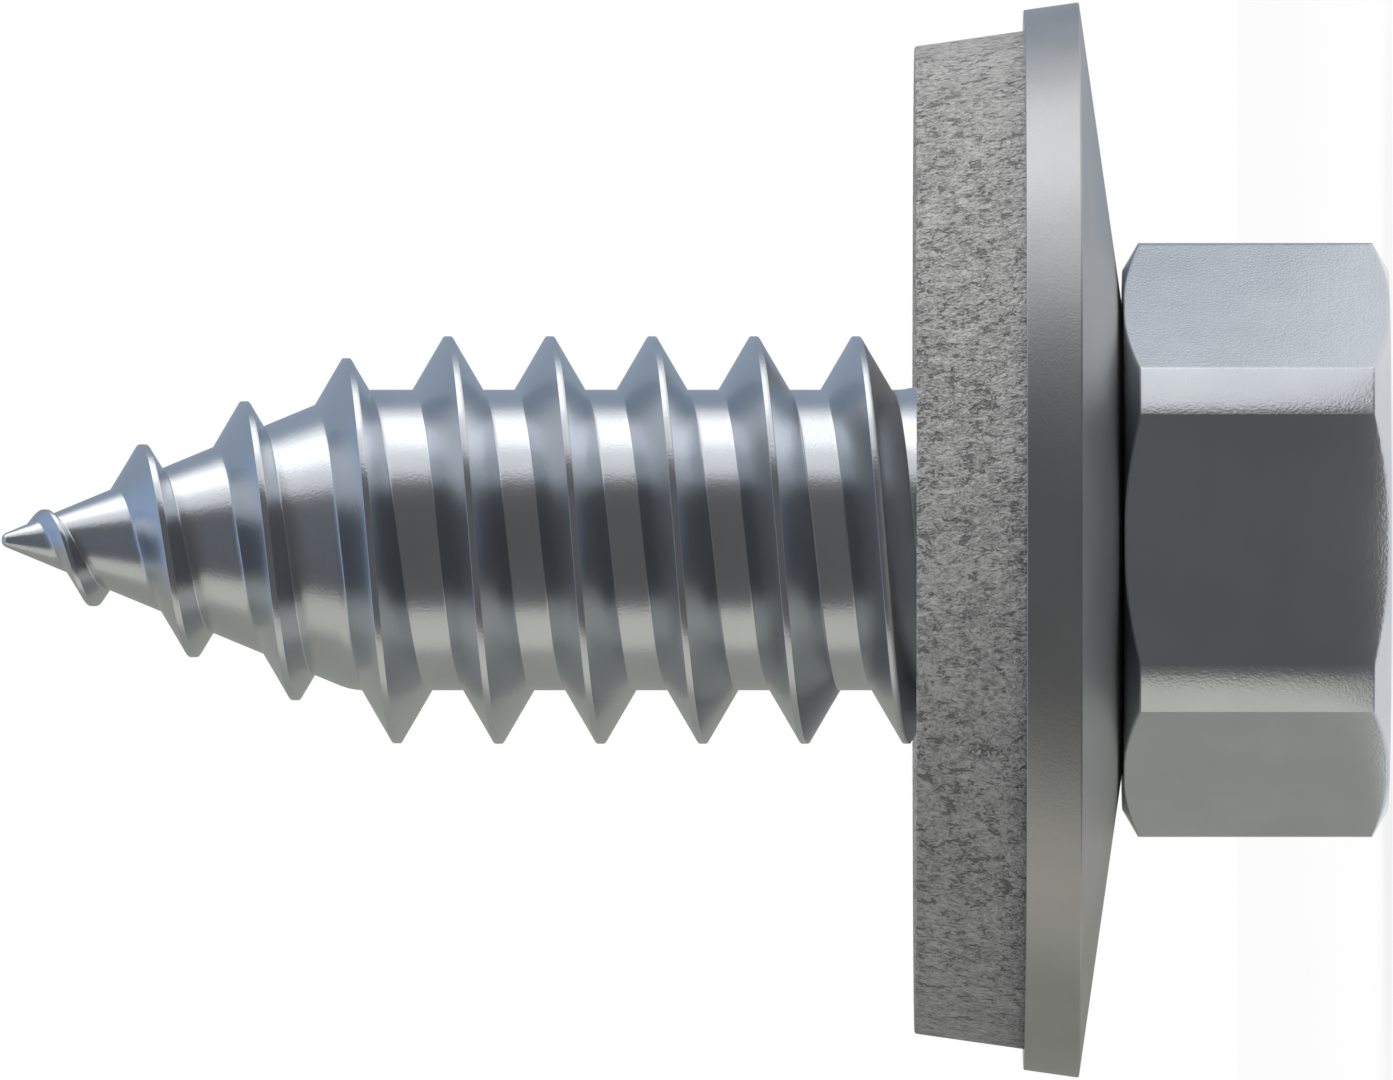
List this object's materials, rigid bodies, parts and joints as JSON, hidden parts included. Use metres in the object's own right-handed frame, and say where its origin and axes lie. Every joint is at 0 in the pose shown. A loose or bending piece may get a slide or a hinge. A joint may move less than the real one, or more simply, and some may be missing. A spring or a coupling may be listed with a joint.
{
  "type": "repair screw",
  "caption": "Coarse-threaded hexagon-head repair screw with a sharp point and a captive dished steel washer bonded to a rubber sealing ring.",
  "frame": {"origin": "centre of the head's end face, on which the screw stands", "axes": "+Z along the screw's axis from head to tip; +X through a corner of the hexagon; +Y square to a flat"},
  "size_m": [0.019, 0.019, 0.0245],
  "materials": {
    "stainless_steel": "satin, fine cold-formed grain",
    "washer_steel": "satin, rolled sheet",
    "seal_rubber": "matt grey, crumbly cut face"
  },
  "bodies": {
    "screw": {"screw": "stainless_steel"},
    "washer": {"steel_washer": "washer_steel", "rubber_seal": "seal_rubber"}
  },
  "joints": [
    {"name": "washer_spin", "type": "hinge", "parent": "screw", "child": "washer", "pos_m": [0, 0, 0.006], "axis": [0, 0, 1], "continuous": true}
  ]
}
